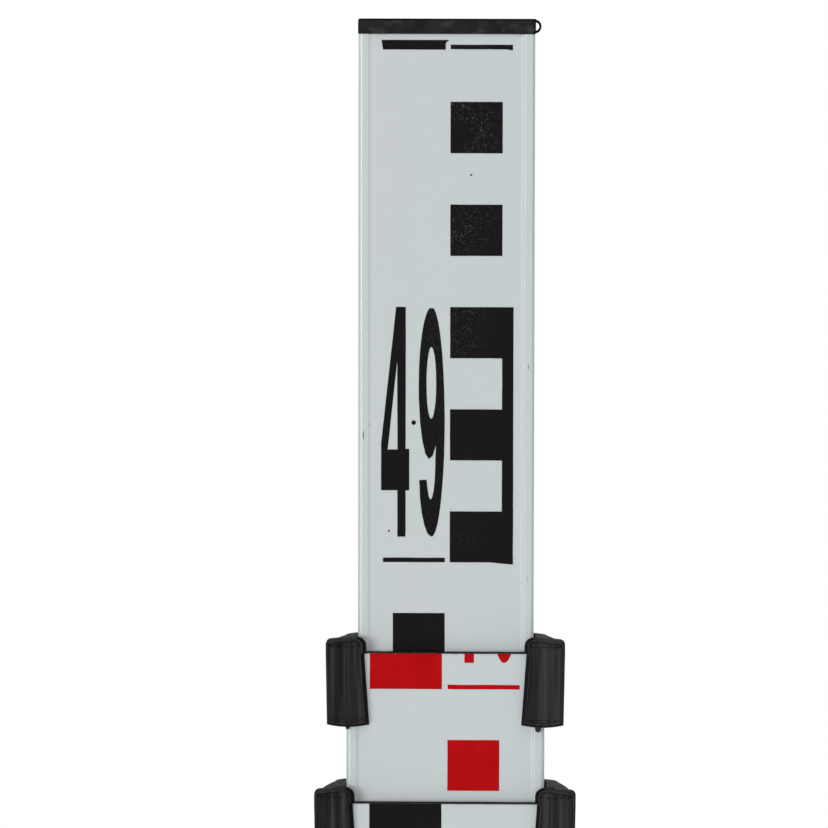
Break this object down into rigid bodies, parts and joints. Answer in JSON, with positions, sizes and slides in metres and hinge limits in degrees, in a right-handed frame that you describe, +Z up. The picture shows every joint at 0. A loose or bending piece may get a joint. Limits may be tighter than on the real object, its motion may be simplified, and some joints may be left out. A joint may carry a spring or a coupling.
{
  "type": "leveling staff",
  "caption": "Telescopic aluminium leveling staff, closed up: flat nested tubes with an E-pattern metric scale, fluted moulded collars, snap locks and a foot shoe.",
  "frame": {"origin": "middle of the foot's underside", "axes": "+Z up the staff, the graduated front faces -Y, +X to the reader's right"},
  "size_m": [0.0598, 0.0304, 1.2172],
  "materials": {
    "enamelled_aluminium": "satin",
    "black_plastic": "satin",
    "steel": "satin"
  },
  "bodies": {
    "section_5": {"section_5_tube": "enamelled_aluminium", "section_5_collar": "black_plastic", "section_5_collar_screws": "steel", "foot_shoe": "black_plastic", "foot_screws": "steel"},
    "section_4": {"section_4_tube": "enamelled_aluminium", "section_4_tail_plug": "black_plastic", "section_4_tail_pins": "steel", "section_4_lock_spring": "steel", "section_4_collar": "black_plastic", "section_4_collar_screws": "steel"},
    "section_3": {"section_3_tube": "enamelled_aluminium", "section_3_tail_plug": "black_plastic", "section_3_tail_pins": "steel", "section_3_lock_spring": "steel", "section_3_collar": "black_plastic", "section_3_collar_screws": "steel"},
    "section_2": {"section_2_tube": "enamelled_aluminium", "section_2_tail_plug": "black_plastic", "section_2_tail_pins": "steel", "section_2_lock_spring": "steel", "section_2_collar": "black_plastic", "section_2_collar_screws": "steel"},
    "section_1": {"section_1_tube": "enamelled_aluminium", "section_1_tail_plug": "black_plastic", "section_1_tail_pins": "steel", "section_1_lock_spring": "steel", "top_cap": "black_plastic", "section_1_stop_ring": "black_plastic", "section_1_stop_pins": "steel"},
    "section_1_lock": {"section_1_lock_button": "steel"},
    "section_2_lock": {"section_2_lock_button": "steel"},
    "section_3_lock": {"section_3_lock_button": "steel"},
    "section_4_lock": {"section_4_lock_button": "steel"}
  },
  "joints": [
    {"name": "section_4_slide", "type": "slide", "parent": "section_5", "child": "section_4", "axis": [0, 0, 1], "range_m": [0, 0.9707]},
    {"name": "section_3_slide", "type": "slide", "parent": "section_4", "child": "section_3", "axis": [0, 0, 1], "range_m": [0, 0.9707]},
    {"name": "section_2_slide", "type": "slide", "parent": "section_3", "child": "section_2", "axis": [0, 0, 1], "range_m": [0, 0.9719]},
    {"name": "section_1_slide", "type": "slide", "parent": "section_2", "child": "section_1", "axis": [0, 0, 1], "range_m": [0, 0.8753]},
    {"name": "section_1_lock_press", "type": "slide", "parent": "section_1", "child": "section_1_lock", "axis": [0, 1, 0], "range_m": [-0.0012, 0], "stiffness_N_per_m": 600, "springref_m": 0.004, "deforming": ["section_1_lock_spring"]},
    {"name": "section_2_lock_press", "type": "slide", "parent": "section_2", "child": "section_2_lock", "axis": [0, 1, 0], "range_m": [-0.0012, 0], "stiffness_N_per_m": 600, "springref_m": 0.004, "deforming": ["section_2_lock_spring"]},
    {"name": "section_3_lock_press", "type": "slide", "parent": "section_3", "child": "section_3_lock", "axis": [0, 1, 0], "range_m": [-0.0012, 0], "stiffness_N_per_m": 600, "springref_m": 0.004, "deforming": ["section_3_lock_spring"]},
    {"name": "section_4_lock_press", "type": "slide", "parent": "section_4", "child": "section_4_lock", "axis": [0, 1, 0], "range_m": [-0.0012, 0], "stiffness_N_per_m": 600, "springref_m": 0.004, "deforming": ["section_4_lock_spring"]}
  ]
}
